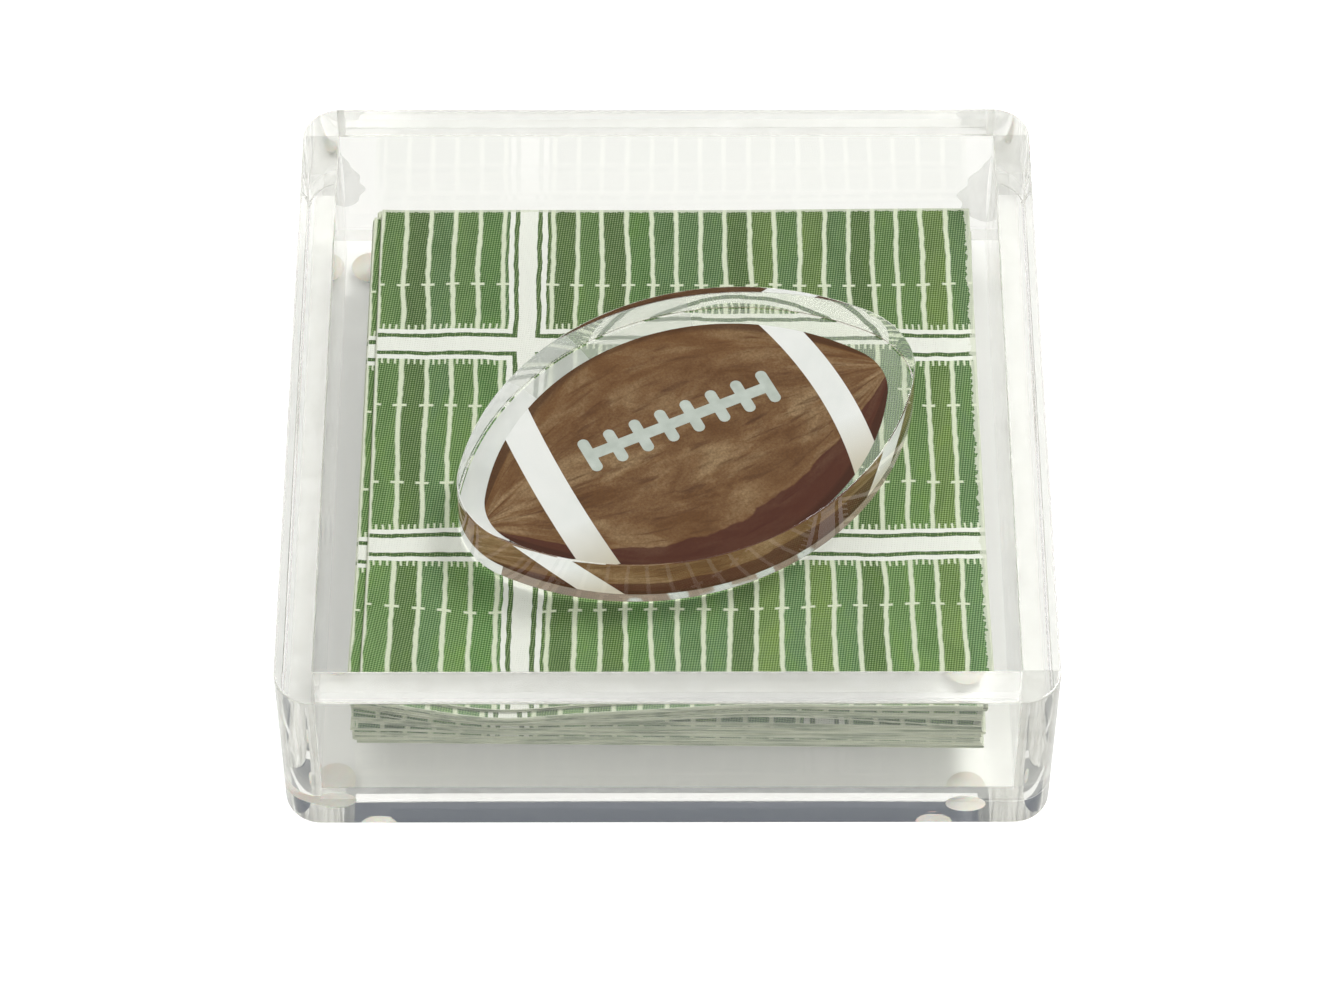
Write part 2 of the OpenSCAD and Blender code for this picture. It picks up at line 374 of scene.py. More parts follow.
# %% Group: polish
polish_group, given, result = new_group(
    "Polishing marks",
    [("Vector", VECTOR, None), ("Wipe", FLOAT, 0.02)],
    [("Height", FLOAT), ("Roughness", FLOAT)])
along_sheet = stretched(polish_group, given["Vector"], (3.0, 40.0, 40.0))
hairs = noise_at(polish_group, along_sheet, 30.0, 3.0)
haze = noise_at(polish_group, given["Vector"], 35.0, 3.0)
wiped = math_node(polish_group, "SUBTRACT", haze, 0.5)
wiped = math_node(polish_group, "MULTIPLY", wiped, given["Wipe"])
feed(polish_group, result["Height"], hairs)
feed(polish_group, result["Roughness"], math_node(polish_group, "MAXIMUM", wiped, 0.0))
print("group:", polish_group.name)

# %% [markdown]
# ## Clear acrylic
#
# Acrylic bends light a little less than glass, with an index of 1.49. A path tracer finds
# lamps with shadow rays, which can't bend, so a purely refractive tray would throw a black
# shadow. Light Path's Is Shadow Ray lets those rays straight through, with the little that
# each face takes.
#
# Light that enters the top of a thick slab can't leave by its side: it is mirrored there and
# stays inside. So the weight's sides that face away from the main lamp let hardly any shadow
# rays through, and the weight throws a shadow. The base has sawn edges, which are a touch
# cloudier than the polished faces.

# %% Material: acrylic
ACRYLIC_IOR = 1.49
MARK_HEIGHT = 0.02 * MM
LIGHT_THROUGH_A_FACE = (0.985, 0.988, 0.982, 1)
LIGHT_THROUGH_A_SIDE = (0.05, 0.06, 0.05, 1)


def finish_clear(tree, surface, shader, lets_through):
    """Ends a material with this shader, but lets shadow rays straight through."""
    straight = add_node(tree, "ShaderNodeBsdfTransparent", Color=lets_through)
    rays = add_node(tree, "ShaderNodeLightPath")
    choose = add_node(tree, "ShaderNodeMixShader", Fac=rays.outputs["Is Shadow Ray"])
    feed(tree, choose.inputs[1], shader.outputs[0])
    feed(tree, choose.inputs[2], straight.outputs[0])
    feed(tree, surface, choose.outputs[0])


def make_acrylic(name, tint, wipe, marks, lets_through=LIGHT_THROUGH_A_FACE):
    """Clear acrylic. wipe is how cloudy its haze gets, and marks how strong the hairs are."""
    material, tree, surface = new_material(name)
    polish = use_group(tree, polish_group, Vector=in_metres(tree), Wipe=wipe)
    clear = add_node(tree, "ShaderNodeBsdfPrincipled", Base_Color=tint, IOR=ACRYLIC_IOR,
                     Transmission_Weight=1.0, Roughness=polish["Roughness"],
                     Normal=bumped(tree, polish["Height"], marks, MARK_HEIGHT))
    finish_clear(tree, surface, clear, lets_through)
    return material


tray_acrylic = make_acrylic("Tray acrylic", (0.985, 0.984, 0.963, 1), 0.02, 0.003)
sawn_edge = make_acrylic("Sawn edge", (0.975, 0.974, 0.965, 1), 0.12, 0.2)
weight_acrylic = make_acrylic("Weight acrylic", (0.985, 0.988, 0.98, 1), 0.01, 0.01)
weight_side = make_acrylic("Weight side", (0.985, 0.988, 0.98, 1), 0.01, 0.01,
                           lets_through=LIGHT_THROUGH_A_SIDE)
acrylics = (tray_acrylic, sawn_edge, weight_acrylic, weight_side)
print("acrylic:", ", ".join(acrylic.name for acrylic in acrylics))

# %% [markdown]
# ## The tray
#
# The real tray is five panels bonded with solvent, which melts the faces together. Light
# passes such a joint without bending, so the dressed tray is one skin that stands for all
# five panels. Each ring below is a square with round corners at one level. The rings climb
# the outside, cross the rim and go down the inside, with an eased edge at each turn, and a
# hair-fine groove marks where the walls stand on the base. The faces below that groove are
# the base's sawn edge.

# %% Tray body
base_low, base_high = (np.array(corner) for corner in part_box("base_panel"))
outer_half = base_high[0]
inner_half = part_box("back_wall")[0][1]
floor_z, rim_z = base_high[2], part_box("front_wall")[1][2]
CORNER_R = 7.5 * MM
EDGE_EASE = 0.5 * MM
INNER_CORNER_R = 0.15 * MM
JOINT_GROOVE = 0.05 * MM
BONDED_INTO = 0.02 * MM
CORNER_STEPS = 20
UPRIGHT_BELOW = 0.9


def square_ring(half, radius, z):
    """A square with round corners, counter-clockwise seen from above."""
    ring = []
    for quarter in range(4):
        centre = (half - radius) * math.sqrt(2)
        aim = math.pi / 4 + quarter * math.pi / 2
        for step in range(CORNER_STEPS + 1):
            angle = quarter * math.pi / 2 + step / CORNER_STEPS * math.pi / 2
            ring.append((centre * math.cos(aim) + radius * math.cos(angle),
                         centre * math.sin(aim) + radius * math.sin(angle), z))
    return np.array(ring)


def eased_levels(ease, steps=3):
    """Pairs of (inset, drop) round a quarter circle, from the flat side to the eased top."""
    turns = [i / steps * math.pi / 2 for i in range(steps + 1)]
    return [(ease * (1 - math.cos(t)), ease * (1 - math.sin(t))) for t in turns]


tray_rings = []
bottom_z = base_low[2] - BONDED_INTO
for inset, drop in eased_levels(EDGE_EASE)[::-1]:
    tray_rings.append(square_ring(outer_half - inset, CORNER_R - inset, bottom_z + drop))
for inset, up in ((0, -JOINT_GROOVE), (JOINT_GROOVE, 0), (0, JOINT_GROOVE)):
    tray_rings.append(square_ring(outer_half - inset, CORNER_R - inset, floor_z + up))
for inset, drop in eased_levels(EDGE_EASE):
    tray_rings.append(square_ring(outer_half - inset, CORNER_R - inset, rim_z - drop))
for inset, drop in eased_levels(EDGE_EASE)[::-1]:
    tray_rings.append(square_ring(inner_half + inset, INNER_CORNER_R + inset, rim_z - drop))
tray_rings.append(square_ring(inner_half, INNER_CORNER_R, floor_z))
tray_body = make_object("tray_body", *join_rings(tray_rings),
                        materials=[tray_acrylic, sawn_edge])
for face in tray_body.data.polygons:
    if face.center.z < floor_z and abs(face.normal.z) < UPRIGHT_BELOW:
        face.material_index = 1
polish_normals(tray_body, sharp_degrees=25)
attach(tray_body, "tray")
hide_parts("base_panel", "front_wall", "back_wall", "left_wall", "right_wall")
print("tray_body:", len(tray_body.data.polygons), "faces")

# %% [markdown]
# ### Bond lines
#
# Solvent cement leaves a hair-fine milky film in each joint: where the walls stand on the
# base, and where they meet at the corners. The left wall butts against the back one, the
# front wall against the left one, and the right wall stands between the two. Some cement
# also ran down inside the back corners and cured in crinkles.

# %% Bond lines
SEAM_T = 0.04 * MM
SEAM_FROM_INSIDE = 0.1 * MM
SEAM_FROM_OUTSIDE = 1.5 * MM
UPRIGHT_FROM_OUTSIDE = 0.6 * MM
SEAM_BELOW_RIM = 0.02 * MM
cement, tree, surface = new_material("Cured cement")
clouds = mottled_color(tree, in_metres(tree), 300.0, 1.6, dark=(0.66, 0.66, 0.60),
                       middle=(0.84, 0.84, 0.78), light=(0.95, 0.95, 0.91))
finish_surface(tree, surface, Base_Color=clouds, Roughness=0.4, Alpha=0.16)

in_half = inner_half + SEAM_FROM_INSIDE
out_half = outer_half - SEAM_FROM_OUTSIDE
corner_half = out_half - SEAM_FROM_OUTSIDE
upright_half = outer_half - UPRIGHT_FROM_OUTSIDE
on_base = (floor_z - SEAM_T / 2, floor_z + SEAM_T / 2)
full_height = (floor_z + SEAM_FROM_INSIDE, rim_z - SEAM_BELOW_RIM)
far_side = (inner_half, inner_half + SEAM_T)
near_side = (-inner_half - SEAM_T, -inner_half)
SEAMS = (
    ((-corner_half, corner_half), (in_half, out_half), on_base),
    ((-out_half, -in_half), (-corner_half, inner_half), on_base),
    ((-inner_half, corner_half), (-out_half, -in_half), on_base),
    ((in_half, out_half), (-inner_half, inner_half), on_base),
    ((-upright_half, -in_half), far_side, full_height),
    ((in_half, upright_half), far_side, full_height),
    ((in_half, upright_half), near_side, full_height),
    (near_side, (-upright_half, -in_half), full_height))
BOX_FACES = ((3, 2, 1, 0), (4, 5, 6, 7), (0, 1, 5, 4), (1, 2, 6, 5), (2, 3, 7, 6), (3, 0, 4, 7))
points, faces = [], []
for (x0, x1), (y0, y1), (z0, z1) in SEAMS:
    first = len(points)
    points += [(x, y, z) for z in (z0, z1) for x, y in ((x0, y0), (x1, y0), (x1, y1), (x0, y1))]
    faces += [[first + i for i in face] for face in BOX_FACES]
bond_lines = make_object("bond_lines", points, faces, [cement])
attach(bond_lines, "tray")
print("bond lines:", len(SEAMS))

# %% [markdown]
# ### Cement runs
#
# Each run of cement is a thin skin on the back wall, faint and a little wrinkled. A grid of
# points follows its outline, which is widest below its middle and wavers, and slanting
# ripples lift the skin by about a tenth of a millimetre. It has a front, a back that sinks
# into the wall, and a strip round the edge, so that it is a closed solid.

# %% Cement runs
RUN_ROWS, RUN_COLUMNS = 70, 30
RUN_SKIN_T = 0.03 * MM
RUN_RIPPLE_T = 0.16 * MM
run_cement, tree, surface = new_material("Crinkled cement")
# Painted shade: slanting dark streaks, partly the cement's own cloudy tone and partly shade
# painted along its ripples.
slanting = stretched(tree, in_metres(tree), (1.0, 1.0, 0.3), rotation=(0, 0.5, 0))
crinkle_tone_and_shade = mottled_color(tree, slanting, 700.0, 2.4, dark=(0.52, 0.53, 0.49),
                         middle=(0.86, 0.87, 0.82), light=(0.97, 0.97, 0.94))
finish_surface(tree, surface, Base_Color=crinkle_tone_and_shade, Roughness=0.5, Alpha=0.15)


def add_cement_run(name, side, width, top, length):
    """A run on the back wall, beside the left (-1) or right (1) corner."""
    down, out = np.meshgrid(np.linspace(0, 1, RUN_ROWS), np.linspace(0, 1, RUN_COLUMNS),
                            indexing="ij")
    waver = 0.90 + 0.10 * np.sin(23 * down + side)
    reach = width * np.sin(np.pi * down ** 1.6) ** 0.6 * waver
    lean = 0.25 * width * down * (1 - down)
    x = side * (inner_half - lean - reach * out)
    z = top - length * (down + 0.05 * out)
    ripples = np.sin(26 * out + 14 * down + 2 * np.sin(19 * down)) * np.sin(40 * down - 9 * out)
    hump = np.minimum(1, 8 * down * (1 - down)) * np.minimum(1, 5 * (1 - out) * (out + 0.3))
    front = inner_half - RUN_SKIN_T - RUN_RIPPLE_T * hump * (1 + 0.6 * ripples)
    back = np.full_like(x, inner_half + BONDED_INTO)
    points = np.concatenate([np.stack([x, y, z], axis=-1).reshape(-1, 3) for y in (front, back)])
    faces = [face[::side] for face in grid_skin(RUN_ROWS, RUN_COLUMNS)]
    run = make_object(name, points, faces, [run_cement])
    run.data.shade_smooth()
    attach(run, "tray")
    return run


left_run = add_cement_run("cement_run_left", -1, 4.4 * MM, rim_z - 5 * MM, 17 * MM)
right_run = add_cement_run("cement_run_right", 1, 6.5 * MM, rim_z - 6 * MM, 21 * MM)
print("cement runs:", left_run.name, "and", right_run.name)

# %% [markdown]
# ## Bumper feet
#
# Four small clear bumpers hold the tray off the table. Soft silicone scatters light, so it
# looks creamy next to the acrylic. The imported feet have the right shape, and only take a
# better material.

# %% Material: silicone feet
silicone, tree, surface = new_material("Clear silicone")
bloom = use_group(tree, mottle_group, Vector=in_metres(tree), Scale=260.0, Contrast=0.6,
                  Dark=(0.70, 0.68, 0.60, 1), Middle=(0.82, 0.81, 0.74, 1),
                  Light=(0.88, 0.87, 0.82, 1))
finish_surface(tree, surface, Base_Color=bloom["Color"], Roughness=0.35, IOR=1.41,
               Subsurface_Weight=0.5, Subsurface_Scale=2 * MM,
               Normal=bumped(tree, bloom["Value"], 0.15, 0.05 * MM))
feet = [node for name, node in frame["nodes"].items() if name.startswith("foot_")]
for foot in feet:
    give_material(foot, silicone)
    foot.data.shade_smooth()
    foot.data.set_sharp_from_angle(angle=math.radians(30))
print("feet:", len(feet))

# %% [markdown]
# ## The napkin's print
#
# The napkin carries a plain playing-field print: strips of turf in five greens, cream yard
# lines at an even pitch, rows of hash ticks, and broad white sidelines between two thin
# dark green rules. It is drawn in millimetres of the flat sheet, so it runs over the folds
# as real print does. Ink creeps along the fibres and brushed lines waver, so two sizes of
# noise shift the coordinates before anything is drawn with them.

# %% Coordinates on the sheet
SHEET = 0.25
# The scale of a noise, and how far it may shift the ink, in millimetres
FINE_CREEP = (0.45, 0.5)
BROAD_CREEP = (0.06, 1.8)


def sheet_millimetres(tree):
    """Position on the flat sheet in millimetres, from one corner."""
    sheet_uv = add_node(tree, "ShaderNodeUVMap")
    sheet_uv.uv_map = "Sheet"
    return vector_node(tree, "SCALE", sheet_uv.outputs[0], scale=SHEET / MM)


printed_tissue, tree, surface = new_material("Printed tissue")
on_sheet = sheet_millimetres(tree)
crept = on_sheet
for noise_scale, reach in (FINE_CREEP, BROAD_CREEP):
    creep = add_node(tree, "ShaderNodeTexNoise", Vector=on_sheet, Scale=noise_scale, Detail=3.0)
    centred = vector_node(tree, "SUBTRACT", creep.outputs["Color"], (0.5, 0.5, 0.5))
    crept = vector_node(tree, "MULTIPLY_ADD", centred, (reach, reach, 0), crept)
across_x, along_y, _ = split_axes(tree, crept)
print("creep of the ink: up to", BROAD_CREEP[1] / 2, "mm")

# %% [markdown]
# Each strip of turf between two yard lines is brushed in a green of its own. Rounding the
# coordinate down gives every strip a number, White Noise turns the number into a random
# value, and a colour ramp turns that into one of five greens. Blotches vary their tone.
# Painted shade makes the turf darker towards the sheet's middle, at the back of the folded
# napkin, and painted light makes it lighter towards the cut edges at the front.

# %% Turf and yard lines
YARD_PITCH = 250 / 48
YARD_WIDTH = 1.0
CREAM = (0.76, 0.82, 0.62, 1)
PAPER_WHITE = (0.84, 0.86, 0.78, 1)
DEEP_GREEN = (0.060, 0.125, 0.035, 1)
GREENS = ((0.043, 0.101, 0.022, 1), (0.077, 0.174, 0.045, 1), (0.064, 0.152, 0.055, 1),
          (0.102, 0.182, 0.040, 1), (0.055, 0.160, 0.036, 1))
QUARTER = SHEET / MM / 2
SOFT_EDGE = 0.3


def lines_at(coordinate, pitch, width, softness):
    """Mask of even lines across this coordinate, in millimetres."""
    lines = use_group(tree, lines_group, Coordinate=coordinate, Pitch=pitch, Width=width,
                      Softness=softness)
    return lines["Mask"]


strip_number = math_node(tree, "FLOOR", math_node(tree, "DIVIDE", across_x, YARD_PITCH))
chance = add_node(tree, "ShaderNodeTexWhiteNoise")
chance.noise_dimensions = "1D"
feed(tree, chance.inputs["W"], strip_number)
greens = add_node(tree, "ShaderNodeValToRGB", Fac=chance.outputs["Value"])
greens.color_ramp.interpolation = "CONSTANT"
while len(greens.color_ramp.elements) < len(GREENS):
    greens.color_ramp.elements.new(1.0)
for number, (stop, green) in enumerate(zip(greens.color_ramp.elements, GREENS)):
    stop.position = number / len(GREENS)
    stop.color = green
washes = mottled_color(tree, stretched(tree, on_sheet, (1.0, 0.35, 1.0)), 0.16, 1.5,
                       dark=(0.50, 0.60, 0.45), middle=(0.85, 0.85, 0.85),
                       light=(1.0, 1.0, 0.55))
turf = mix_colors(tree, 0.75, greens.outputs[0], washes, blend="SOFT_LIGHT")
# Painted shade and light: the turf gets darker towards the middle of the sheet, at the back, and
# lighter at the cut edges in front.
from_cut = math_node(tree, "PINGPONG", along_y, QUARTER)
fade = add_node(tree, "ShaderNodeMapRange", Value=from_cut, From_Max=QUARTER,
                To_Min=1.15, To_Max=0.72)
turf = vector_node(tree, "SCALE", turf, scale=fade.outputs[0])
yard_lines = lines_at(across_x, YARD_PITCH, YARD_WIDTH, SOFT_EDGE)
print("yard lines every", round(YARD_PITCH, 2), "mm")

# %% [markdown]
# Sidelines run both ways, in the same places on each quarter of the sheet, so that they
# meet at the folds. Everything on them is placed by the distance to the nearest sideline
# of either direction, so that the rules turn neat corners where two of them cross.

# %% Sidelines, rules and ticks
UPRIGHT_AT = 31.25
LEVEL_FROM_MIDDLE = 26.0
RULE_FROM, RULE_TO = 1.9, 2.9
VERGE = 4.0
COMB_WIDTH, COMB_LENGTH = 0.45, 1.3
HASH_FROM_SIDELINE, HASH_LENGTH, HASH_HALF_WIDTH = 16.0, 2.8, 0.3
from_upright = math_node(tree, "ADD", across_x, UPRIGHT_AT)
to_upright = math_node(tree, "PINGPONG", from_upright, QUARTER / 2)
from_middle = math_node(tree, "SUBTRACT", along_y, QUARTER / 2)
from_middle = math_node(tree, "PINGPONG", from_middle, QUARTER / 2)
to_level = math_node(tree, "SUBTRACT", from_middle, LEVEL_FROM_MIDDLE)
to_level = math_node(tree, "ABSOLUTE", to_level)
nearest = math_node(tree, "MINIMUM", to_upright, to_level)
verge = math_node(tree, "LESS_THAN", nearest, VERGE)
rule = math_node(tree, "MULTIPLY", math_node(tree, "GREATER_THAN", nearest, RULE_FROM),
                 math_node(tree, "LESS_THAN", nearest, RULE_TO))
by_level = math_node(tree, "LESS_THAN", to_level, VERGE + COMB_LENGTH)
comb = lines_at(across_x, YARD_PITCH / 4, COMB_WIDTH, 0.2)
comb = math_node(tree, "MULTIPLY", comb, by_level)
hash_row = math_node(tree, "SUBTRACT", to_level, HASH_FROM_SIDELINE)
hash_row = math_node(tree, "ABSOLUTE", hash_row)
hash_row = math_node(tree, "LESS_THAN", hash_row, HASH_HALF_WIDTH)
hashes = lines_at(across_x, YARD_PITCH, HASH_LENGTH, SOFT_EDGE)
hashes = math_node(tree, "MULTIPLY", hash_row, hashes)
cream_marks = math_node(tree, "MAXIMUM", yard_lines, math_node(tree, "MAXIMUM", comb, hashes))
field = mix_colors(tree, cream_marks, turf, CREAM)
field = mix_colors(tree, verge, field, PAPER_WHITE)
field = mix_colors(tree, rule, field, DEEP_GREEN)
print("level sidelines", LEVEL_FROM_MIDDLE, "mm off the middle of each quarter")

# %% [markdown]
# Ink hardly reaches the crowns of the embossing, so the crowns let the pale tissue through
# as light specks, and painted shade makes the pits darker. On the creases, and a little
# along the cut edges, the paper's own white fibres show. A slow noise added to the
# embossing's height gives the sheet the soft waves of paper that has been folded.

# %% Finish the printed face
EMBOSS_PITCH = 0.74
CUT_WEAR = 0.4
CREASE_WEAR = {"X": 2.6, "Y": 1.1}
WORN_FIBRES = (0.70, 0.73, 0.60, 1)
PAINTED_PIT_SHADE = (0.035, 0.075, 0.018, 1)
THIN_INK = (0.46, 0.56, 0.28, 1)
embossing = use_group(tree, emboss_group, Vector=on_sheet, Pitch=EMBOSS_PITCH)
crowns = fade_in(tree, embossing["Pit"], 0.50, 0.72, strength=0.72)
# Painted shade: the pits of the embossing are made darker.
pit_shade = fade_in(tree, embossing["Pit"], 0.50, 0.30, strength=0.75)
inked = mix_colors(tree, crowns, field, mix_colors(tree, 0.35, THIN_INK, turf))
shaded = mix_colors(tree, pit_shade, inked, PAINTED_PIT_SHADE)
unprinted = math_node(tree, "SUBTRACT", verge, rule)
keep_pale = math_node(tree, "MAXIMUM", unprinted, math_node(tree, "MULTIPLY", cream_marks, 0.75))
face_color = mix_colors(tree, keep_pale, shaded, field)
fibres = noise_at(tree, on_sheet, 0.9, 3.0)
sides = split_axes(tree, on_sheet)
for side, crease_wear in CREASE_WEAR.items():
    from_cut = math_node(tree, "PINGPONG", sides[side], QUARTER)
    from_crease = math_node(tree, "SUBTRACT", QUARTER, from_cut)
    cut_reach = math_node(tree, "MULTIPLY", fibres, CUT_WEAR)
    crease_reach = math_node(tree, "MULTIPLY", fibres, crease_wear)
    worn = math_node(tree, "MAXIMUM", math_node(tree, "LESS_THAN", from_cut, cut_reach),
                     math_node(tree, "LESS_THAN", from_crease, crease_reach))
    face_color = mix_colors(tree, math_node(tree, "MULTIPLY", worn, 0.75), face_color,
                            WORN_FIBRES)
waves = noise_at(tree, on_sheet, 0.07, 2.0)
relief = math_node(tree, "MULTIPLY_ADD", waves, 9.0, embossing["Height"])
finish_surface(tree, surface, Base_Color=face_color, Roughness=0.9, Specular_IOR_Level=0.2,
               Sheen_Weight=0.15, Sheen_Roughness=0.6,
               Normal=bumped(tree, relief, 0.7, 0.14 * MM))
print("printed face:", len(tree.nodes), "nodes")

# %% [markdown]
# The back of the sheet is bare: off-white tissue where a trace of the green shows through.
# Noise that is stretched flat gives the cut edges fine dark lines of painted shade, where the
# plies part.

# %% Material: bare tissue
bare_tissue, tree, surface = new_material("Bare tissue")
on_sheet = sheet_millimetres(tree)
show_through = mottled_color(tree, on_sheet, 0.12, 0.8, dark=(0.62, 0.66, 0.49),
                             middle=(0.73, 0.77, 0.60), light=(0.84, 0.86, 0.72))
plies = noise_at(tree, stretched(tree, in_metres(tree), (70.0, 70.0, 1500.0)), 1.0, 3.0)
# Painted shade: dark lines where the plies part.
between = fade_in(tree, plies, 0.46, 0.62, strength=0.75)
tissue_color = mix_colors(tree, between, show_through, (0.26, 0.33, 0.20, 1))
embossing = use_group(tree, emboss_group, Vector=on_sheet, Pitch=EMBOSS_PITCH)
finish_surface(tree, surface, Base_Color=tissue_color, Roughness=0.95,
               Specular_IOR_Level=0.15,
               Normal=bumped(tree, embossing["Height"], 0.4, 0.12 * MM))
print("materials:", printed_tissue.name, "and", bare_tissue.name)

# %% [markdown]
# ## Folding a napkin
#
# Each napkin is one sheet of 250 x 250 mm, folded to the back and then to the right. Cloth
# simulation would spend minutes to find a shape that a formula gives at once: near a fold
# line the sheet runs round a half circle, and away from it the sheet lies flat. The first
# fold turns the sheet's height, and the second turns that height again on a wider circle.
# A napkin is never folded exactly on its middle, so its leaves end a little apart.

# %% Fold formula
NAPKINS = 15
LEAF_PITCH = 0.21 * MM
LEAF_T = 0.14 * MM
FOLDED_SIDE = SHEET / 2
FOLD_R = LEAF_PITCH / 2
HALF_T = LEAF_T / 2
LINES_AT_FOLD, LINES_BESIDE = 5, 27
CROWDING = 1.4


def fold_sheet(u, v, lift, misfold_u, misfold_v):
    """Where points of the flat sheet lie once it is folded in four, about its middle."""
    v = v - misfold_v
    turn = np.clip(v / FOLD_R, -math.pi / 2, math.pi / 2)
    radius = FOLD_R + lift
    y = FOLDED_SIDE / 2 - FOLD_R - HALF_T + radius * np.cos(turn)
    y -= np.maximum(np.abs(v) - FOLD_R * math.pi / 2, 0)
    height = radius * np.sin(turn)
    u = u - misfold_u
    wide = 2 * FOLD_R
    turn = np.clip(u / wide, -math.pi / 2, math.pi / 2)
    radius = wide - height
    x = FOLDED_SIDE / 2 - 2 * wide + HALF_T + radius * np.cos(turn)
    x -= np.maximum(np.abs(u) - wide * math.pi / 2, 0)
    return x, y, radius * np.sin(turn)


def sheet_lines():
    """Grid lines across the sheet: close together at the fold and near the open edges."""
    at_fold = np.linspace(0, FOLD_R * math.pi, LINES_AT_FOLD)
    share = np.linspace(0, 1, LINES_BESIDE + 1)[1:]
    beside = at_fold[-1] + (SHEET / 2 - at_fold[-1]) * (1 - (1 - share) ** CROWDING)
    half = np.concatenate([at_fold, beside])
    return np.concatenate([-half[:0:-1], half])


grid = sheet_lines()
print("grid lines each way:", len(grid))

# %% [markdown]
# ## Settling the stack
#
# Paper that lies loose isn't flat. The stack is pressed under the weight, and it opens
# towards its free corners, where a few napkins part and show slivers of print. All leaves
# take their rise from one smooth field that grows from the floor up, so they never cross.

# %% Weight outline and settling
WEIGHT_L, WEIGHT_W, WEIGHT_TIP_R = 100 * MM, 67 * MM, 16.5 * MM
PRINT_L, PRINT_W, PRINT_TIP_R = 89.2 * MM, 59.2 * MM, 11.1 * MM
WEIGHT_TURN = math.radians(26)
WEIGHT_EASE = 0.4 * MM
RISE_FROM, RISE_FULL = 1.12, 1.75
DIP = 2.3 * MM
DIP_X, DIP_REACH_X = -33 * MM, 13 * MM
DIP_FROM, DIP_FULL = 20 * MM, 55 * MM
FRONT_LIFT = 2.4 * MM
FRONT_FROM, FRONT_FULL = 28 * MM, 61 * MM
LOOSENESS = 0.4 * MM
WAVE = 0.16 * MM
slab_low, slab_high = (np.array(corner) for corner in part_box("weight_slab"))
weight_middle = (slab_low + slab_high)[:2] / 2
stack_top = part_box(f"napkin_{NAPKINS}")[1][2]
# Where a napkin's folded halves gape: its number, how high, and the middle and reach of
# the gape along x and y
GAPES = ((6, 2.2 * MM, -0.068, 0.019, -0.064, 0.030), (7, 2.5 * MM, -0.070, 0.016, -0.064, 0.028),
         (8, 2.7 * MM, 0.024, 0.026, -0.064, 0.028), (9, 1.9 * MM, 0.062, 0.020, -0.064, 0.028),
         (14, 1.1 * MM, -0.070, 0.010, 0.045, 0.035), (12, 0.5 * MM, 0.062, 0.022, 0.062, 0.024))


def ball_frame(x, y):
    """Coordinates along and across the weight."""
    dx, dy = x - weight_middle[0], y - weight_middle[1]
    cos, sin = math.cos(WEIGHT_TURN), math.sin(WEIGHT_TURN)
    return dx * cos + dy * sin, dy * cos - dx * sin


def smooth_step(value, low, high):
    """Eases from 0 at low to 1 at high."""
    t = np.clip((value - low) / (high - low), 0, 1)
    return t * t * (3 - 2 * t)


def rise_at(x, y):
    """How freely the stack may rise: 0 under the weight and 1 at the open corners."""
    along, across = ball_frame(x, y)
    away = np.hypot(along / WEIGHT_L, across / WEIGHT_W) * 2
    return smooth_step(away, RISE_FROM, RISE_FULL)


def dip_at(x, y):
    """The shallow dip in front of the weight, where the stack is pressed down."""
    return np.exp(-((x - DIP_X) / DIP_REACH_X) ** 2) * smooth_step(-y, DIP_FROM, DIP_FULL)


def settle(x, y, z, number, upper):
    """Raises points of one napkin with the stack under it. upper is 1 on its top half."""
    rise = rise_at(x, y)
    share = (z - floor_z) / (stack_top - floor_z)
    wave = WAVE * np.sin(x * 95 + 1.3) * np.sin(y * 80 + 0.4)
    front = FRONT_LIFT * smooth_step(-y, FRONT_FROM, FRONT_FULL)
    lifted = z + rise * share * (LOOSENESS + wave + front) - dip_at(x, y) * share * DIP
    for gaping, height, middle_x, reach_x, middle_y, reach_y in GAPES:
        bulge = np.exp(-((x - middle_x) / reach_x) ** 2 - ((y - middle_y) / reach_y) ** 2)
        above = upper if number == gaping else float(number > gaping)
        lifted = lifted + rise * bulge * height * above
    return lifted

# %% [markdown]
# ## The fifteen napkins
#
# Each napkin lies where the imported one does, turned a little off its neighbours, and the
# lower eleven are turned a degree further. It is a thin closed sheet: a printed face, a bare
# face and the cut edge between them.

# %% Make the napkins
FIRST_STRAIGHT = 12
LOWER_TURN_DEGREES = -1.0
SKEW_DEGREES = 0.35
SKEW_STEP = 73
MISFOLD = 0.25 * MM


def turn_of(number):
    """How far this napkin is turned, in radians. The top one lies straight."""
    if number == NAPKINS:
        return 0
    turn = SKEW_DEGREES * math.sin(math.radians(number * SKEW_STEP))
    return math.radians(turn + LOWER_TURN_DEGREES * (number < FIRST_STRAIGHT))


